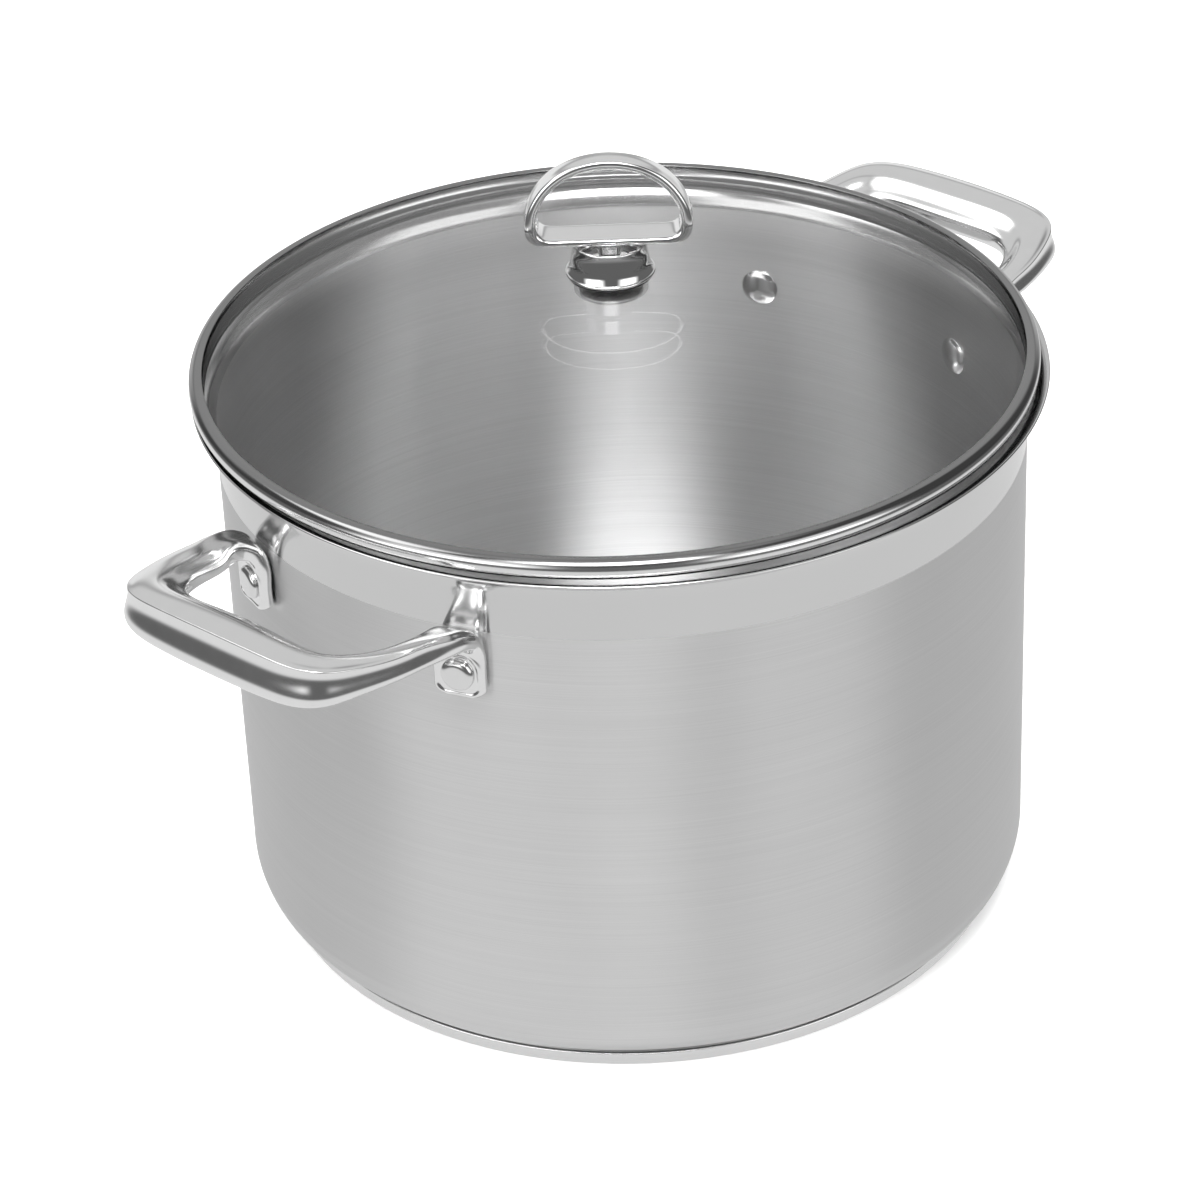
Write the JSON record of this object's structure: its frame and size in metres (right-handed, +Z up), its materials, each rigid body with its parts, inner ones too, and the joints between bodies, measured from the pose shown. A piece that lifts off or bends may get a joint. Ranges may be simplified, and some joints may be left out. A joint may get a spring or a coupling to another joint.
{
  "type": "stock pot",
  "caption": "Tall brushed stainless steel stock pot with riveted loop handles, a disc base, and a domed glass lid with a looped metal knob.",
  "frame": {"origin": "centre of the underside of the base disc", "axes": "+Z up along the pot's axis; the loop handles stand on the +X and -X sides"},
  "size_m": [0.349, 0.2553, 0.242],
  "materials": {
    "brushed_body": "circumferentially brushed stainless steel, with a polished band under the lip",
    "base_steel": "satin magnetic stainless steel",
    "core_aluminium": "plain aluminium, seen only as a thin edge line",
    "cast_polished": "mirror-polished cast stainless steel",
    "rivet_steel": "bright stainless steel",
    "lid_glass": "clear tempered glass",
    "band_steel": "bright rolled stainless steel",
    "knob_polished": "mirror-polished stainless steel",
    "seal_rubber": "matt black silicone rubber",
    "hardware_steel": "plain stainless hardware"
  },
  "bodies": {
    "pot": {"pot_shell": "brushed_body", "base_core": "core_aluminium", "base_cap": "base_steel", "handle_left": "cast_polished", "handle_right": "cast_polished", "rivet_left_a": "rivet_steel", "rivet_left_b": "rivet_steel", "rivet_right_a": "rivet_steel", "rivet_right_b": "rivet_steel"},
    "lid": {"lid_glass": "lid_glass", "lid_band": "band_steel", "knob_cup": "knob_polished", "knob_loop": "knob_polished", "knob_gasket_upper": "seal_rubber", "knob_gasket_lower": "seal_rubber", "knob_sleeve": "seal_rubber", "knob_washer": "hardware_steel", "knob_screw": "hardware_steel"}
  },
  "joints": [
    {"name": "lid_lift", "type": "slide", "parent": "pot", "child": "lid", "axis": [0, 0, 1], "range_m": [0, 0.2]}
  ]
}
